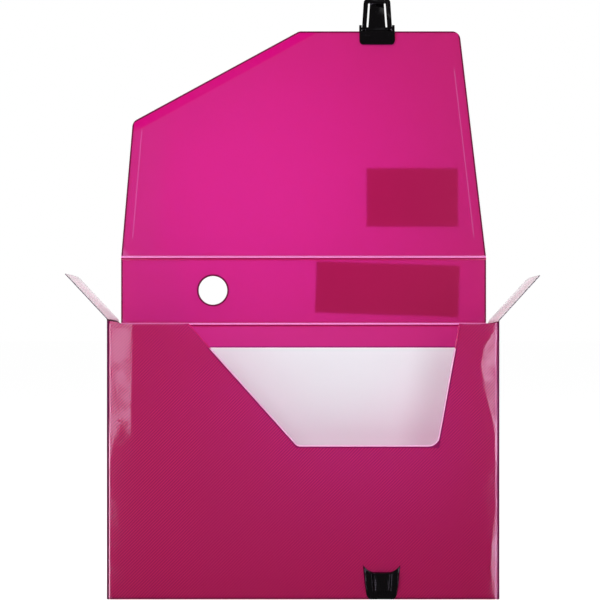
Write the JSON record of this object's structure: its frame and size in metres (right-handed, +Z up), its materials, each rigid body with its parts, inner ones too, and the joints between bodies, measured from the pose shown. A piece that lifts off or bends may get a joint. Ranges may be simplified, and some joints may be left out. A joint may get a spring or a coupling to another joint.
{
  "type": "portable file box",
  "caption": "Portable file box folded from translucent plastic sheet, with a cut-out front, dust flaps and a hinged cover closed by a snap clasp.",
  "frame": {"origin": "middle of the box's underside", "axes": "+X to the right as seen from the front, +Y to the back, +Z up"},
  "size_m": [0.4014, 0.0659, 0.5241],
  "materials": {
    "sheet": "translucent magenta polypropylene sheet, finely ribbed outside and smooth inside",
    "flap_sheet": "frosted, nearly clear polypropylene sheet",
    "label": "blank white stick-on label",
    "card": "smooth white card",
    "black_moulding": "glossy black moulded plastic"
  },
  "bodies": {
    "box": {"front_panel": "sheet", "back_panel": "sheet", "bottom_panel": "sheet", "left_wall": "sheet", "right_wall": "sheet", "left_weld_tab": "sheet", "right_weld_tab": "sheet", "left_bottom_tab": "sheet", "right_bottom_tab": "sheet", "back_crease": "sheet", "left_flap_crease": "flap_sheet", "right_flap_crease": "flap_sheet", "catch": "black_moulding", "catch_plate": "black_moulding", "catch_rivets": "black_moulding"},
    "left_flap": {"left_flap": "flap_sheet"},
    "right_flap": {"right_flap": "flap_sheet"},
    "spine": {"spine_panel": "sheet", "spine_label": "label", "lid_crease": "sheet"},
    "lid": {"lid_panel": "sheet", "lid_label": "label", "clasp_base": "black_moulding", "clasp_plate": "black_moulding", "clasp_rivets": "black_moulding", "lever_pin": "black_moulding"},
    "lever": {"clasp_lever": "black_moulding"},
    "card": {"insert_card": "card"}
  },
  "joints": [
    {"name": "spine_fold", "type": "hinge", "parent": "box", "child": "spine", "pos_m": [0, 0.0286, 0.2327], "axis": [1, 0, 0], "range_deg": [-90, 90]},
    {"name": "lid_fold", "type": "hinge", "parent": "spine", "child": "lid", "pos_m": [0, 0.0286, 0.2924], "axis": [1, 0, 0], "range_deg": [-90, 90]},
    {"name": "lever_turn", "type": "hinge", "parent": "lid", "child": "lever", "pos_m": [0.066, 0.0309, 0.4982], "axis": [1, 0, 0], "range_deg": [-95, 0]},
    {"name": "left_flap_fold", "type": "hinge", "parent": "box", "child": "left_flap", "pos_m": [-0.1651, -0.0025, 0.2316], "axis": [0, 1, 0], "range_deg": [-65, 130]},
    {"name": "right_flap_fold", "type": "hinge", "parent": "box", "child": "right_flap", "pos_m": [0.1651, -0.0025, 0.2316], "axis": [0, -1, 0], "range_deg": [-65, 130]},
    {"name": "card_lift", "type": "slide", "parent": "box", "child": "card", "axis": [0, 0, -1], "range_m": [-0.23, 0]}
  ]
}
